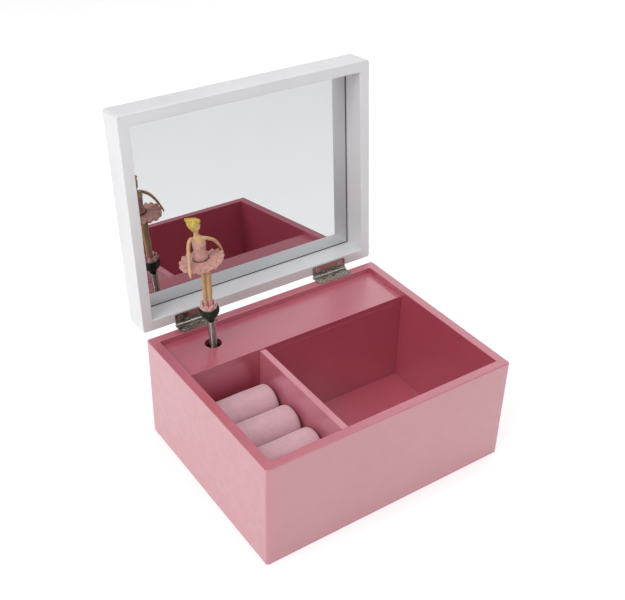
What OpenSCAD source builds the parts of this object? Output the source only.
// Musical jewellery box with a dancer that turns on a spring post.
// Frame: origin at the centre of the box's footprint on the table, +X to the right,
// +Y to the back, +Z up. The lid is drawn open. Millimetres.

/* [Box] */
// Width of the box and of the lid
box_w = 180; // [176:1:190]
// Depth of the box and of the lid, front to back
box_d = 144; // [142:1:150]
// Height of the box without its lid
box_h = 74; // [74:1:80]
// Thickness of the four painted walls
wall_t = 6.3; // [6:0.1:7]
// Thickness of the base panel
base_t = 3; // [2.5:0.5:4]
// Thickness of the shelf, the divider and the music wall
board_t = 4.5; // [4:0.1:5]
// Drop from the rim to the top of the shelf
shelf_drop = 4; // [3:0.5:5]
// Drop from the rim to the top of the divider
divider_drop = 5; // [4:0.5:8]
// Depth of the music bay, from the back wall to the front of the music wall
bay_d = 36.7; // [36:0.1:38]
// Centre of the divider, right of the box's centre
divider_x = -29.6; // [-32:0.1:-28]
// Radius of the upright outer corners of box and lid
corner_r = 1.8; // [1:0.1:3]

/* [Lid] */
// Height of the lid's frame
lid_h = 19.5; // [19:0.5:22]
// Width of the lid's rails seen from inside
rail_w = 7.3; // [7:0.1:9]
// Depth from the lid's inner face to the mirror
mirror_recess = 16.5; // [14:0.5:17]
// Thickness of the mirror glass
mirror_t = 1.5; // [1:0.1:2]
// Step in the rails that the mirror and the top panel lie in
rebate_w = 3.5; // [3:0.1:4]
// Angle from closed to open
lid_angle = 95; // [90:1:100]

/* [Hinges] */
// Distance of each hinge from the box's centre
hinge_x = 54; // [50:1:60]
// Length of one hinge
hinge_len = 27; // [24:1:30]
// Thickness of a hinge leaf
leaf_t = 0.8; // [0.7:0.1:1]
// Distance of the hinge pin behind the box's back face
pin_out = 2; // [1.8:0.1:2.5]
// Gap between the rim and the closed lid
lid_gap = 1.8; // [1.8:0.1:2.2]

/* [Ring rolls] */
// Radius of a ring roll
roll_r = 12.3; // [12:0.1:12.3]
// Distance between the centres of two rolls
roll_pitch = 24.9; // [24.9:0.1:25.5]
// Centre of the rearmost roll, behind the box's centre
roll_y = 12; // [10:0.5:14]
// Height of the rolls' centres
roll_z = 41; // [40:0.5:43]
// Top of the block that the rolls stand on
roll_base_z = 31; // [30:0.5:33]

/* [Movement] */
// Centre of the dancer's spindle, right of the box's centre
spindle_x = -53.1; // [-55:0.1:-50]
// Centre of the dancer's spindle, behind the box's centre
spindle_y = 51.2; // [50:0.1:52]
// Height of the spring barrel's and the cylinder's axes
train_z = 30; // [29:0.5:31]
// Teeth on the barrel's crown gear
crown_n = 48; // [48:1:48]
// Leaves on the pinions of the cylinder and of the spindle
leaf_n = 12; // [12:1:12]
// Notes, one comb tooth each
notes = 18; // [18:1:18]

/* [Dancer] */
// Radius of the hole in the shelf
hole_r = 5.5; // [5:0.1:6]
// Outer radius of the spring post
spring_r = 2.5; // [2.4:0.1:2.6]
// Height of the flower's underside
flower_z = 88; // [86:0.5:90]
// Lean of the figure to its side
lean = 6.2; // [0:0.1:8]
// Direction that the figure faces, turned about its post
facing = -34; // [-90:1:90]
// Radius of the skirt
skirt_r = 14; // [12:0.5:14]

/* [Hidden] */
$fn = 64;

eps = 0.01;
over = 1;                   // how far a cut runs past the face that it opens
run = 0.05;                 // radial clearance of a running fit
inner_w = box_w - 2 * wall_t;
inner_d = box_d - 2 * wall_t;
back_y = box_d / 2;
bay_front = inner_d / 2 - bay_d;
shelf_z = box_h - shelf_drop;
divider_h = box_h - divider_drop - base_t;
tray_x = -inner_w / 2;
tray_w = divider_x - board_t / 2 - tray_x;
tray_fit = 0.3;
roll_end_gap = 1.7;

// Lid, in its closed place
lid_z = box_h + lid_gap;
pin_y = back_y + pin_out;
pin_z = box_h + lid_gap / 2;
lid_step = rail_w - rebate_w;
lid_fit = 0.2;
lid_panel_t = lid_h - mirror_recess - mirror_t;

// Hinges
knuckles = 5;
knuckle_len = hinge_len / knuckles;
knuckle_gap = 0.2;
barrel_r = 1.35;
pin_r = 0.7;
pin_stub = 0.3;
leaf_y = 66;
leaf_edge = back_y + 0.45;
knuckle_root = 1;
leaf_corner = 1.2;
screw_y = 68.6;
screw_out = 9.6;
screw_r = 0.9;
screw_head_r = 1.8;
screw_len = 6.5;
recess_w = 0.35;
recess_depth = 0.35;
recess_share = 1.2;         // length of the cross recess, in head radii
slot_size = [3.2, 1.2];
slot_x = 4.3;
slot_y = 71.1;

// Movement
gear_m = 0.5;
wheel_m = 0.4;
crown_r = crown_n * gear_m / 2;
leaf_r = leaf_n * gear_m / 2;
crown_y = spindle_y + leaf_r;
crown_face = 2;
crown_share = 0.4;
leaf_share = 0.34;
wheel_share = 0.36;
pinion_w = 3;
pinion_x = spindle_x + crown_r - pinion_w / 2;
tooth_up = 0.7;             // height of a tooth above the pitch line, in modules
tooth_down = 1.3;           // depth of a tooth below the pitch line, in modules
plate_t = 2;
plate_y = inner_d / 2 - plate_t;
plate_x = [-70, -1];
plate_z = [6, 52];
plate_screws = [[-66.5, 9.5], [-66.5, 48.5], [-4.5, 9.5], [-26, 48.5]];
plate_screw_r = 1.25;
pan_h = 1.4;
barrel_r_out = crown_r + crown_face / 2;
barrel_wall = 1;
barrel_face_t = 1.2;
barrel_front = crown_y + tooth_down * gear_m;
barrel_back = plate_y - 1.7;
spring_y = [barrel_front + 1.5, barrel_back - 1.3];
arbor_r = 1.5;
arbor_in_key = 5;
hub_r = 2.8;
collar_r = 2.5;
collar_t = 1;
collar_gap = 0.3;
key_hole_r = 4;
key_y = back_y + 2;
cyl_r = 6.5;
cyl_x = [-36, -14];
cyl_arbor_r = 1.2;
cyl_arbor_x = [pinion_x - 1.5, -8.2];
wheel_gap = 1.2;
wheel_w = 1.5;
tune_pin_r = 0.2;
tune_pin_out = 0.4;
pins_per_note = 3;
pins_round = 24;
tune_steps = [7, 11];       // places round the cylinder from note to note and pin to pin
wheel_n = 45;
small_n = 9;
worm_n = 30;
wheel_r = wheel_n * wheel_m / 2;
small_r = small_n * wheel_m / 2;
worm_wheel_r = worm_n * wheel_m / 2;
gov_z = train_z + wheel_r + small_r;
gov_x = -7;
worm_gap = 1.2;
worm_y = spindle_y - worm_wheel_r - worm_gap;
worm_lead = PI * wheel_m;
worm_phase = 80;
worm_r = 1.4;
worm_root_r = 0.8;
worm_len = 6;
gov_shaft_r = 0.6;
worm_shaft_r = 0.5;
upright_t = 1.5;
bearing_w = 3;
comb_t = 0.8;
comb_seat = 1;
comb_slit = 0.3;
comb_z = [8, 14];
comb_tip = train_z - cyl_r - tune_pin_out - 0.1;
comb_screw_x = [-31, -19];
comb_screw_z = (comb_z[0] + comb_z[1]) / 2;
comb_head_h = 1.2;
spindle_r = 1.5;
spindle_foot_z = 35.5;
spindle_step_z = 39;
spring_seat = 1.5;
journal_r = 1;
bracket_z = [36, 46];
bracket_t = 2;
bracket_half_w = 4;

// Dancer
wire_r = 0.4;
coil_r = spring_r - wire_r;
coil_pitch = 0.84;
coil_steps = 12;
wire_sides = 6;
spring_z = 64;
post_r = coil_r - wire_r - run;
peg_r = post_r - 0.15;
lean_z = 80;                // the post's two straight ends, extended, meet here
bend_z = 2 * lean_z - flower_z;
bend_len = flower_z - bend_z;
cup_z = 8;                  // heights from here on are in the figure's own frame
cup_stalk_r = 2.6;
bowl_z = 9.8;
cup_top = 17.6;
cup_r = 6.4;
peg_z = 4;
petals_z = 17.7;
petals_top = 22;
petals_r = 5.4;
feet_z = 20.5;
leg_x = [[-1.3, 0], [1.7, 3]];          // each leg's foot and its top
leg_z = [23, 46];
hip = [1, 0, 50];
waist = [0.5, 0, 58.5];
chest = [0.8, 0, 65];
shoulder_z = 67;
chin_z = 72;
skirt_x = 0.7;
skirt_z = 49.8;

// ---------- shared shapes ----------

// Box with its low corner at lo and its high corner at hi
module span(lo, hi) {
    translate(lo) cube(hi - lo);
}

// Cylinder along +Y from y0 to y1 at x, z
module rod_y(x, z, y0, y1, r) {
    translate([x, y0, z]) rotate([-90, 0, 0]) cylinder(h = y1 - y0, r = r);
}

// Cylinder along +X from x0 to x1 at y, z
module rod_x(y, z, x0, x1, r) {
    translate([x0, y, z]) rotate([0, 90, 0]) cylinder(h = x1 - x0, r = r);
}

// Cylinder along +Z from z0 to z1 at x, y
module rod_z(x, y, z0, z1, r) {
    translate([x, y, z0]) cylinder(h = z1 - z0, r = r);
}

// Rectangle centred on the origin with round corners
module round_rect(w, d, r) {
    square([w, d - 2 * r], center = true);
    square([w - 2 * r, d], center = true);
    for (sx = [-1, 1], sy = [-1, 1])
        translate([sx * (w / 2 - r), sy * (d / 2 - r)]) circle(r);
}

// Outline of a spur gear with n teeth of module m; share is a tooth's part of the pitch
function gear_points(n, m, share) = [
    for (i = [0 : n - 1])
        let (mid = i * 360 / n, half = 180 / n * share, r = n * m / 2)
        for (p = [[r - tooth_down * m, -1.25], [r, -1], [r + tooth_up * m, -0.5],
                  [r + tooth_up * m, 0.5], [r, 1], [r - tooth_down * m, 1.25]])
            p[0] * [cos(mid + p[1] * half), sin(mid + p[1] * half)]];

module gear(n, m, share, width, bore) {
    linear_extrude(width) difference() {
        polygon(gear_points(n, m, share));
        circle(bore);
    }
}

// Countersunk screw pointing down, its head's top at z = 0
module screw(len) {
    difference() {
        union() {
            translate([0, 0, -leaf_t]) cylinder(h = leaf_t, r1 = screw_r, r2 = screw_head_r);
            translate([0, 0, -len]) cylinder(h = len - leaf_t + eps, r = screw_r);
        }
        cross_recess();
    }
}

module cross_recess() {
    for (a = [0, 90]) rotate(a)
        translate([-screw_head_r * recess_share / 2, -recess_w / 2, -recess_depth])
            cube([screw_head_r * recess_share, recess_w, recess_depth + over]);
}

// Holes for the hinges' screws, from height z0 to z1
module hinge_screw_holes(z0, z1) {
    for (x = [-hinge_x, hinge_x], s = [-1, 1])
        rod_z(x + s * screw_out, screw_y, z0, z1, screw_r + run);
}

// Closed lid to open lid, about the hinge pin
module opened() {
    translate([0, pin_y, pin_z]) rotate([-lid_angle, 0, 0])
        translate([0, -pin_y, -pin_z]) children();
}

// ---------- box ----------

module box_paint() {
    color("#e08a94") children();
}

// One wall, the part of the box's outline between lo and hi
module wall(lo, hi) {
    linear_extrude(box_h) intersection() {
        round_rect(box_w, box_d, corner_r);
        translate(lo) square(hi - lo);
    }
}

module front_panel() {
    box_paint() wall([-box_w / 2, -back_y], [box_w / 2, -inner_d / 2]);
}

module back_panel() {
    box_paint() difference() {
        wall([-box_w / 2, inner_d / 2], [box_w / 2, back_y]);
        hinge_screw_holes(box_h - screw_len - over, box_h + over);
        for (p = plate_screws)
            rod_y(p[0], p[1], inner_d / 2 - over, back_y + over, plate_screw_r + run);
        rod_y(spindle_x, train_z, inner_d / 2 - over, back_y + over, key_hole_r);
    }
}

module left_panel() {
    box_paint() span([-box_w / 2, -inner_d / 2, 0], [-inner_w / 2, inner_d / 2, box_h]);
}

module right_panel() {
    box_paint() span([inner_w / 2, -inner_d / 2, 0], [box_w / 2, inner_d / 2, box_h]);
}

module base_panel() {
    box_paint() span([-inner_w / 2, -inner_d / 2, 0], [inner_w / 2, inner_d / 2, base_t]);
}

module music_wall() {
    box_paint() span([-inner_w / 2, bay_front, base_t],
        [inner_w / 2, bay_front + board_t, shelf_z - board_t]);
}

module dancer_shelf() {
    box_paint() difference() {
        span([-inner_w / 2, bay_front, shelf_z - board_t], [inner_w / 2, inner_d / 2, shelf_z]);
        rod_z(spindle_x, spindle_y, shelf_z - board_t - over, shelf_z + over, hole_r);
    }
}

module divider() {
    box_paint() translate([divider_x - board_t / 2, -inner_d / 2, base_t])
        cube([board_t, inner_d / 2 + bay_front, divider_h]);
}

// ---------- ring rolls ----------

module ring_roll_base() {
    color("#e3b5b9") span([tray_x + tray_fit, -inner_d / 2 + tray_fit, base_t],
        [tray_x + tray_w - tray_fit, bay_front - tray_fit, roll_base_z]);
}

// Roll number n from the back, cut flat where it stands on the base
module ring_roll(n) {
    y = roll_y - n * roll_pitch;
    color("#f3ccd0") difference() {
        rod_x(y, roll_z, tray_x + tray_fit, tray_x + tray_w - roll_end_gap, roll_r);
        span([tray_x, y - 2 * roll_r, roll_z - 2 * roll_r],
            [tray_x + tray_w, y + 2 * roll_r, roll_base_z]);
    }
}

module ring_roll_back() {
    ring_roll(0);
}

module ring_roll_middle() {
    ring_roll(1);
}

module ring_roll_front() {
    ring_roll(2);
}

// ---------- lid ----------

// A mitred rail, from its plan outline
module rail(outline) {
    color("#f4f4f2") opened() translate([0, 0, lid_z]) difference() {
        linear_extrude(lid_h) intersection() {
            round_rect(box_w, box_d, corner_r);
            polygon(outline);
        }
        span([-box_w / 2 + lid_step, -back_y + lid_step, mirror_recess],
            [box_w / 2 - lid_step, back_y - lid_step, lid_h + over]);
        hinge_screw_holes(-over, screw_len + over);
    }
}

// Plan outline of the rail along X on the front (side -1) or the back (side 1)
function rail_x(side) = [
    [-box_w / 2, side * back_y], [box_w / 2, side * back_y],
    [box_w / 2 - rail_w, side * (back_y - rail_w)],
    [-box_w / 2 + rail_w, side * (back_y - rail_w)]];

// Plan outline of the rail along Y on the left (side -1) or the right (side 1)
function rail_y(side) = [
    [side * box_w / 2, -back_y], [side * box_w / 2, back_y],
    [side * (box_w / 2 - rail_w), back_y - rail_w],
    [side * (box_w / 2 - rail_w), -back_y + rail_w]];

module lid_rail_front() {
    rail(rail_x(-1));
}

module lid_rail_back() {
    rail(rail_x(1));
}

module lid_rail_left() {
    rail(rail_y(-1));
}

module lid_rail_right() {
    rail(rail_y(1));
}

// A sheet that lies in the lid's rebate, from depth z0 to z1
module lid_sheet(z0, z1) {
    opened() translate([0, 0, lid_z])
        span([-box_w / 2 + lid_step + lid_fit, -back_y + lid_step + lid_fit, z0],
            [box_w / 2 - lid_step - lid_fit, back_y - lid_step - lid_fit, z1]);
}

module mirror_glass() {
    color("#c9ced2") lid_sheet(mirror_recess, mirror_recess + mirror_t);
}

module lid_top_panel() {
    color("#f4f4f2") lid_sheet(mirror_recess + mirror_t, lid_h);
}

// ---------- hinges ----------

// One leaf lying on the rim, with the knuckles of index first, first + 2 and so on
module leaf(x, first) {
    color("#b9b6ae") translate([x, 0, 0]) difference() {
        union() {
            translate([0, 0, box_h]) linear_extrude(leaf_t) leaf_outline();
            for (k = [first : 2 : knuckles - 1]) knuckle(k);
        }
        rod_x(pin_y, pin_z, -hinge_len, hinge_len, pin_r + run);
        for (s = [-1, 1]) translate([s * screw_out, screw_y, box_h - eps])
            cylinder(h = leaf_t + 2 * eps, r1 = screw_r + run, r2 = screw_head_r + run);
    }
}

module leaf_outline() {
    difference() {
        union() {
            translate([-hinge_len / 2, leaf_y + leaf_corner])
                square([hinge_len, leaf_edge - leaf_y - leaf_corner]);
            translate([-hinge_len / 2 + leaf_corner, leaf_y])
                square([hinge_len - 2 * leaf_corner, 2 * leaf_corner]);
            for (s = [-1, 1])
                translate([s * (hinge_len / 2 - leaf_corner), leaf_y + leaf_corner])
                    circle(leaf_corner);
        }
        for (s = [-1, 1]) translate([s * slot_x, slot_y]) square(slot_size, center = true);
    }
}

module knuckle(k) {
    x0 = -hinge_len / 2 + k * knuckle_len + (k == 0 ? 0 : knuckle_gap / 2);
    x1 = -hinge_len / 2 + (k + 1) * knuckle_len - (k == knuckles - 1 ? 0 : knuckle_gap / 2);
    rod_x(pin_y, pin_z, x0, x1, barrel_r);
    span([x0, leaf_edge - knuckle_root, box_h], [x1, pin_y, box_h + leaf_t]);
}

// A leaf turned over onto the lid's inner face
module lid_leaf(x) {
    opened() translate([0, 0, 2 * pin_z]) mirror([0, 0, 1]) leaf(x, 1);
}

module hinge_leaf_box_left() {
    leaf(-hinge_x, 0);
}

module hinge_leaf_box_right() {
    leaf(hinge_x, 0);
}

module hinge_leaf_lid_left() {
    lid_leaf(-hinge_x);
}

module hinge_leaf_lid_right() {
    lid_leaf(hinge_x);
}

module hinge_pins() {
    color("#a9a69e") for (x = [-hinge_x, hinge_x])
        rod_x(pin_y, pin_z, x - hinge_len / 2 - pin_stub, x + hinge_len / 2 + pin_stub, pin_r);
}

module hinge_screws_at(z) {
    color("#8f8c86") for (x = [-hinge_x, hinge_x], s = [-1, 1])
        translate([x + s * screw_out, screw_y, z]) screw(screw_len);
}

module hinge_screws_box() {
    hinge_screws_at(box_h + leaf_t);
}

module hinge_screws_lid() {
    opened() translate([0, 0, 2 * pin_z]) mirror([0, 0, 1]) hinge_screws_at(box_h + leaf_t);
}

// ---------- movement ----------

module steel() {
    color("#9a9a98") children();
}

module brass() {
    color("#c9a455") children();
}

module bedplate() {
    back = plate_y + plate_t;
    steel() difference() {
        union() {
            span([plate_x[0], plate_y, plate_z[0]], [plate_x[1], back, plate_z[1]]);
            span([cyl_x[0] - comb_seat, spindle_y + comb_t / 2, plate_z[0]],
                [cyl_x[1] + comb_seat, plate_y + eps, comb_z[1]]);
        }
        rod_y(spindle_x, train_z, plate_y - over, back + over, arbor_r + run);
        for (p = plate_screws) rod_y(p[0], p[1], plate_y - over, back + over, plate_screw_r);
        for (x = comb_screw_x) rod_y(x, comb_screw_z, spindle_y, plate_y, screw_r);
    }
}

// Pan-head screws from behind, through the back wall into the bedplate
module movement_screws() {
    steel() for (p = plate_screws) difference() {
        union() {
            rod_y(p[0], p[1], plate_y + run, back_y + eps, plate_screw_r);
            rod_y(p[0], p[1], back_y, back_y + pan_h, 2 * plate_screw_r);
        }
        translate([p[0], back_y + pan_h, p[1]]) rotate([-90, 0, 0]) cross_recess();
    }
}

// Drum of the mainspring with the crown gear on its front
module spring_barrel() {
    inside_r = barrel_r_out - barrel_wall;
    brass() translate([spindle_x, 0, train_z]) {
        difference() {
            rod_y(0, 0, barrel_front, barrel_back, barrel_r_out);
            rod_y(0, 0, barrel_front + barrel_face_t, barrel_back + over, inside_r);
            rod_y(0, 0, barrel_front - over, barrel_back, arbor_r + run);
        }
        translate([0, barrel_front + eps, 0]) rotate([90, 0, 0])
            linear_extrude((tooth_up + tooth_down) * gear_m + eps) crown_teeth();
    }
}

module crown_teeth() {
    half = 180 / crown_n * crown_share;
    r0 = crown_r - crown_face / 2;
    r1 = crown_r + crown_face / 2;
    for (i = [0 : crown_n - 1]) rotate((i + 0.5) * 360 / crown_n)
        polygon([r0 * [cos(half), -sin(half)], r1 * [cos(half), -sin(half)],
            r1 * [cos(half), sin(half)], r0 * [cos(half), sin(half)]]);
}

module barrel_cap() {
    front = barrel_back - barrel_wall;
    steel() difference() {
        rod_y(spindle_x, train_z, front, barrel_back, barrel_r_out - barrel_wall);
        rod_y(spindle_x, train_z, front - over, barrel_back + over, arbor_r + run);
    }
}

// Flat spiral between the arbor's hub and the drum's wall
module mainspring() {
    turns = 7;
    step = 18;
    strip = 0.3;
    r0 = hub_r + 0.4;
    r1 = barrel_r_out - barrel_wall - 0.2 - strip;
    steps = turns * 360 / step;
    inner = [for (i = [0 : steps]) (r0 + (r1 - r0) * i / steps) * [cos(i * step), sin(i * step)]];
    outer = [for (i = [steps : -1 : 0])
        (r0 + strip + (r1 - r0) * i / steps) * [cos(i * step), sin(i * step)]];
    steel() translate([spindle_x, spring_y[1], train_z]) rotate([90, 0, 0])
        linear_extrude(spring_y[1] - spring_y[0]) polygon(concat(inner, outer));
}

module winding_arbor() {
    front = barrel_front - collar_gap - collar_t;
    steel() {
        rod_y(spindle_x, train_z, front, key_y + arbor_in_key, arbor_r);
        rod_y(spindle_x, train_z, front, front + collar_t, collar_r);
        rod_y(spindle_x, train_z, spring_y[0], spring_y[1], hub_r);
        rod_y(spindle_x, train_z, barrel_back + collar_gap, plate_y - collar_gap, collar_r);
    }
}

// Points round a wire of radius wire, coiled about +Z from z = 0 up
function coil_points(r, wire, pitch, turns) = [
    for (i = [0 : turns * coil_steps], k = [0 : wire_sides - 1])
        let (a = i * 360 / coil_steps, b = k * 360 / wire_sides, q = r + wire * cos(b))
        [q * cos(a), q * sin(a), wire + pitch * i / coil_steps + wire * sin(b)]];

// Closed tube through rings of wire_sides points each
module wire_tube(points) {
    rings = len(points) / wire_sides - 1;
    walls = [for (i = [0 : rings - 1], k = [0 : wire_sides - 1])
        let (low = i * wire_sides, high = low + wire_sides, next = (k + 1) % wire_sides)
        [low + k, high + k, high + next, low + next]];
    caps = [[for (k = [0 : wire_sides - 1]) k],
        [for (k = [wire_sides - 1 : -1 : 0]) rings * wire_sides + k]];
    polyhedron(points, concat(walls, caps), convexity = 10);
}

// One-way clutch: a wire coil gripping the arbor behind the bedplate
module clutch_spring() {
    wire = 0.35;
    pitch = 0.75;
    turns = 5;
    steel() translate([spindle_x, inner_d / 2 + 0.5, train_z]) rotate([-90, 0, 0])
        wire_tube(coil_points(arbor_r + run + wire + 0.1, wire, pitch, turns));
}

// Butterfly key pressed onto the arbor's end
module winding_key() {
    collar = [3.2, 7];
    wing_r = 6;
    wing_t = 2;
    wing_x = 5.2;
    wing_y = key_y + 11;
    eye_r = 3;
    eye_shift = [0.6, 0.4];
    color("#c9c6bd") difference() {
        union() {
            rod_y(spindle_x, train_z, key_y, key_y + collar[1], collar[0]);
            for (s = [-1, 1])
                rod_z(spindle_x + s * wing_x, wing_y, train_z - wing_t / 2,
                    train_z + wing_t / 2, wing_r);
        }
        rod_y(spindle_x, train_z, key_y - over, key_y + arbor_in_key + run, arbor_r);
        for (s = [-1, 1])
            rod_z(spindle_x + s * (wing_x + eye_shift[0]), wing_y + eye_shift[1],
                train_z - wing_t, train_z + wing_t, eye_r);
    }
}

// Cylinder with its tune pins, scattered by a fixed rule
module music_cylinder() {
    brass() difference() {
        union() {
            rod_x(spindle_y, train_z, cyl_x[0], cyl_x[1], cyl_r);
            for (n = [0 : notes - 1], k = [0 : pins_per_note - 1])
                tune_pin(n, (n * tune_steps[0] + k * tune_steps[1]) % pins_round);
        }
        rod_x(spindle_y, train_z, cyl_x[0] - over, cyl_x[1] + over, cyl_arbor_r);
    }
}

module tune_pin(n, place) {
    translate([cyl_x[0] + (n + 0.5) * (cyl_x[1] - cyl_x[0]) / notes, spindle_y, train_z])
        rotate([place * 360 / pins_round, 0, 0])
            cylinder(h = cyl_r + tune_pin_out, r = tune_pin_r, $fn = 16);
}

module cylinder_arbor() {
    steel() rod_x(spindle_y, train_z, cyl_arbor_x[0], cyl_arbor_x[1], cyl_arbor_r);
}

module cylinder_pinion() {
    steel() translate([pinion_x, spindle_y, train_z]) rotate([0, 90, 0])
        rotate(-90) gear(leaf_n, gear_m, leaf_share, pinion_w, cyl_arbor_r);
}

module cylinder_wheel() {
    brass() translate([cyl_x[1] + wheel_gap, spindle_y, train_z]) rotate([0, 90, 0])
        gear(wheel_n, wheel_m, wheel_share, wheel_w, cyl_arbor_r);
}

// Upright on the bedplate with a bearing for the cylinder's arbor
module bracket(x) {
    half_h = 4;
    steel() difference() {
        span([x, spindle_y - bearing_w, train_z - half_h], [x + upright_t, plate_y, train_z + half_h]);
        rod_x(spindle_y, train_z, x - over, x + upright_t + over, cyl_arbor_r + run);
    }
}

module bracket_left() {
    bracket(cyl_x[0] - 2.6);
}

module bracket_right() {
    bracket(cyl_arbor_x[1] - 2.3);
}

module comb() {
    pitch = (cyl_x[1] - cyl_x[0]) / notes;
    steel() difference() {
        span([cyl_x[0], spindle_y - comb_t / 2, comb_z[0]],
            [cyl_x[1], spindle_y + comb_t / 2, comb_tip]);
        for (n = [1 : notes - 1])
            translate([cyl_x[0] + n * pitch - comb_slit / 2, 0, comb_z[1]])
                cube([comb_slit, back_y, comb_tip]);
        for (x = comb_screw_x)
            rod_y(x, comb_screw_z, spindle_y - over, spindle_y + over, screw_r + run);
    }
}

module comb_screws() {
    front = spindle_y - comb_t / 2;
    steel() for (x = comb_screw_x) difference() {
        union() {
            rod_y(x, comb_screw_z, front, front + screw_len, screw_r);
            rod_y(x, comb_screw_z, front - comb_head_h, front, 2 * screw_r);
        }
        translate([x, front - comb_head_h, comb_screw_z]) rotate([90, 0, 0]) cross_recess();
    }
}

// Frame that carries the governor wheel and the worm
module governor_frame() {
    left = cyl_x[1] - 2.5;
    right = gov_x + 3;
    low = gov_z - worm_wheel_r - 0.8;
    high = gov_z + worm_wheel_r - 0.3;
    arm = [2, 2];
    steel() difference() {
        union() {
            span([left, spindle_y - bearing_w, gov_z - bearing_w],
                [left + upright_t, plate_y, gov_z + bearing_w]);
            span([left, plate_y - upright_t, gov_z - bearing_w],
                [right + eps, plate_y, gov_z + bearing_w]);
            span([right, worm_y - bearing_w, low],
                [right + upright_t, plate_y, high + upright_t]);
            for (z = [low, high])
                span([gov_x - arm[0], worm_y - bearing_w, z],
                    [right + eps, worm_y + arm[1], z + upright_t]);
        }
        rod_x(spindle_y, gov_z, left - over, right + upright_t + over, gov_shaft_r + run);
        rod_z(gov_x, worm_y, low - over, high + upright_t + over, worm_shaft_r + run);
    }
}

// Shaft with the small pinion and the wheel that drives the worm
module governor_wheel() {
    small_w = 2.4;
    worm_wheel_w = 2;
    hub = gov_shaft_r / 2;
    brass() {
        rod_x(spindle_y, gov_z, cyl_x[1] - 3, gov_x + 5, gov_shaft_r);
        translate([cyl_x[1] + wheel_gap - 0.4, spindle_y, gov_z]) rotate([0, 90, 0])
            gear(small_n, wheel_m, wheel_share, small_w, hub);
        translate([gov_x - worm_wheel_w / 2, spindle_y, gov_z]) rotate([0, 90, 0])
            rotate(90) gear(worm_n, wheel_m, wheel_share, worm_wheel_w, hub);
    }
}

// Single-start worm on its shaft
module governor_worm() {
    steel() {
        rod_z(gov_x, worm_y, gov_z - worm_wheel_r - 1.5, gov_z + worm_wheel_r + 9, worm_shaft_r);
        translate([gov_x, worm_y, gov_z - worm_len / 2])
            linear_extrude(worm_len, twist = -360 * worm_len / worm_lead, slices = 57, $fn = 15)
                rotate(worm_phase) worm_section();
    }
}

// Round the root, with a thread over a bit more than a quarter of the turn
module worm_section() {
    sides = 15;
    thread = 4;
    polygon([for (k = [0 : sides - 1])
        let (a = k * 360 / sides, r = k <= thread ? worm_r : worm_root_r)
        r * [cos(a), sin(a)]]);
}

module governor_fly() {
    z = gov_z + worm_wheel_r + 2.4;
    hub_r = 1.2;
    vane = [9.2, 0.4, 4];
    brass() difference() {
        union() {
            rod_z(gov_x, worm_y, z, z + vane[2], hub_r);
            translate([gov_x - vane[0] / 2, worm_y - vane[1] / 2, z]) cube(vane);
        }
        rod_z(gov_x, worm_y, z - over, z + vane[2] + over, worm_shaft_r);
    }
}

// C-shaped bracket that carries the dancer's spindle over the crown gear
module spindle_bracket() {
    front = spindle_y - 6.2;
    web_t = 1.8;
    tail_y = crown_y - 1.2;
    steel() difference() {
        union() {
            span([spindle_x - bracket_half_w, front, bracket_z[1]],
                [spindle_x + bracket_half_w, plate_y, bracket_z[1] + bracket_t]);
            span([spindle_x - bracket_half_w, front, bracket_z[0]],
                [spindle_x + bracket_half_w, front + web_t, bracket_z[1] + eps]);
            span([spindle_x - bracket_half_w, front, bracket_z[0]],
                [spindle_x + bracket_half_w, tail_y, bracket_z[0] + bracket_t]);
        }
        rod_z(spindle_x, spindle_y, bracket_z[1] - over, bracket_z[1] + bracket_t + over,
            spindle_r + run);
        rod_z(spindle_x, spindle_y, bracket_z[0] - over, bracket_z[0] + bracket_t + over,
            journal_r + run);
    }
}

module dancer_spindle() {
    steel() {
        rod_z(spindle_x, spindle_y, spindle_foot_z, spindle_step_z, journal_r);
        rod_z(spindle_x, spindle_y, spindle_step_z, spring_z, spindle_r);
        rod_z(spindle_x, spindle_y, spring_z - spring_seat, spring_z, spring_r);
        rod_z(spindle_x, spindle_y, spring_z - eps, shelf_z, post_r);
    }
}

module spindle_pinion() {
    steel() translate([spindle_x, spindle_y, train_z + crown_r - pinion_w / 2])
        rotate(90) gear(leaf_n, gear_m, leaf_share, pinion_w, spindle_r);
}

// ---------- dancer ----------

// A point of the upright post, moved onto the post's bend towards -X
function bent(p) =
    let (s = min(max(p[2] - bend_z, 0), bend_len), a = lean * s / bend_len,
        arc = bend_len * 180 / PI / lean, z = p[2] - s)
    [p[0] * cos(a) - arc * (1 - cos(a)), p[1],
        z + arc * sin(a) + p[0] * sin(a)];

// Close-wound spring post between the spindle and the flower, with the figure's lean
module dancer_spring() {
    turns = floor((flower_z - spring_z - 2 * wire_r) / coil_pitch);
    color("#c8c8c6") translate([spindle_x, spindle_y, 0]) rotate(facing)
        wire_tube([for (p = coil_points(coil_r, wire_r, coil_pitch, turns))
            bent([p[0], p[1], p[2] + spring_z + eps])]);
}

// The figure's own frame: it leans over about a point on its post
module posed() {
    translate([spindle_x, spindle_y, lean_z]) rotate([0, 0, facing])
        rotate([0, -lean, 0]) children();
}

module flower_cup() {
    color("#2f5a41") posed() rotate_extrude()
        polygon([[0, peg_z], [peg_r, peg_z], [peg_r, cup_z + 0.1], [cup_stalk_r, cup_z + 0.1],
            [cup_stalk_r, bowl_z], [cup_r - 1.6, bowl_z + 1.7], [cup_r - 0.3, bowl_z + 3.8],
            [cup_r, bowl_z + 5.4], [cup_r - 0.4, cup_top], [0, cup_top]]);
}

module flower_petals() {
    floor_z = petals_top - 1.6;
    color("#e9aab4") posed() rotate_extrude()
        polygon([[0, petals_z], [petals_r - 1.8, petals_z], [petals_r - 0.2, petals_z + 2.6],
            [petals_r, petals_top], [petals_r - 1.8, floor_z], [0, floor_z]]);
}

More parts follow.
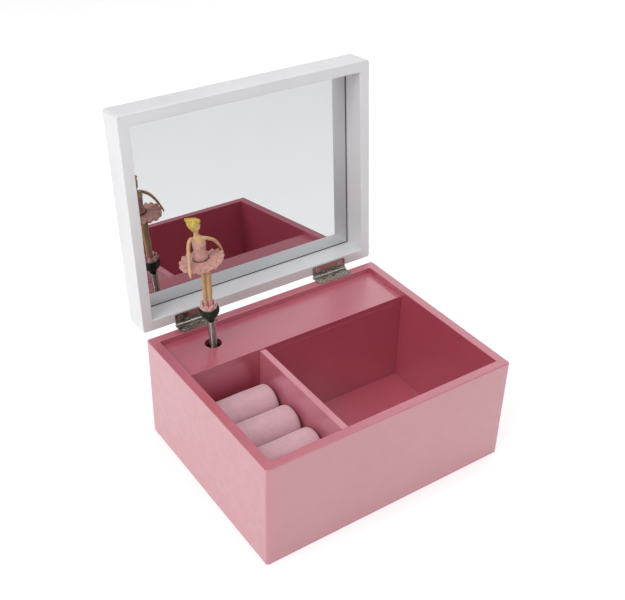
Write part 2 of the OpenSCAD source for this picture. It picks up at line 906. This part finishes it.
// Tapered limb with round ends, from a to b
module limb(a, b, ra, rb) {
    hull() {
        translate(a) sphere(ra, $fn = 16);
        translate(b) sphere(rb, $fn = 16);
    }
}

// Painted figure: legs, body, arms, head and hair in one moulding
module dancer_figure() {
    elbows = [[-5.9, -4.8, 59.2], [11.3, 6.4, 59.4]];
    hands = [[-5.3, -12.8, 52.8], [12.4, 9.6, 51.4]];
    color("#dfb98f") posed() difference() {
        union() {
            for (x = leg_x) limb([x[0], 0, leg_z[0]], [x[1], 0, leg_z[1]], 1.5, 1.8);
            limb(hip, waist, 3.6, 3.2);
            limb(waist, chest, 3.2, 3.4);
            limb([-4, 0, shoulder_z], [4.2, 0, shoulder_z], 1.4, 1.4);
            limb([0, 0, shoulder_z], [-0.1, 0, chin_z], 1.6, 1.5);
            limb([0.1, 0, chin_z + 3], [0, 0, chin_z + 5.4], 3.1, 3);
            limb([-4.4, 0, shoulder_z], elbows[0], 1.3, 1);
            limb(elbows[0], hands[0], 1.1, 0.8);
            limb([4.6, 0, shoulder_z], elbows[1], 1.3, 1);
            limb(elbows[1], hands[1], 1, 0.7);
            limb([-1.4, 0, chin_z + 6], [-4.6, 0, chin_z + 7.6], 2.6, 1.2);
        }
        translate([-cup_r, -cup_r, 0]) cube([2 * cup_r, 2 * cup_r, feet_z]);
    }
}

// Stiff skirt round the hips
module dancer_skirt() {
    hole_w = 4.2;
    fold_r = skirt_r / 2;
    color("#f0c3c8") posed() translate([skirt_x, 0, skirt_z]) rotate_extrude()
        polygon([[hole_w, 1.8], [fold_r, 0.4], [skirt_r, 0], [skirt_r, 1.2], [fold_r, 3.2],
            [hole_w, 4.8]]);
}

front_panel();
back_panel();
left_panel();
right_panel();
base_panel();
music_wall();
dancer_shelf();
divider();
ring_roll_base();
ring_roll_back();
ring_roll_middle();
ring_roll_front();
lid_rail_front();
lid_rail_back();
lid_rail_left();
lid_rail_right();
lid_top_panel();
mirror_glass();
hinge_leaf_box_left();
hinge_leaf_box_right();
hinge_leaf_lid_left();
hinge_leaf_lid_right();
hinge_pins();
hinge_screws_box();
hinge_screws_lid();
bedplate();
movement_screws();
spring_barrel();
barrel_cap();
mainspring();
winding_arbor();
clutch_spring();
winding_key();
music_cylinder();
cylinder_arbor();
cylinder_pinion();
cylinder_wheel();
bracket_left();
bracket_right();
comb();
comb_screws();
governor_frame();
governor_wheel();
governor_worm();
governor_fly();
spindle_bracket();
dancer_spindle();
spindle_pinion();
dancer_spring();
flower_cup();
flower_petals();
dancer_figure();
dancer_skirt();
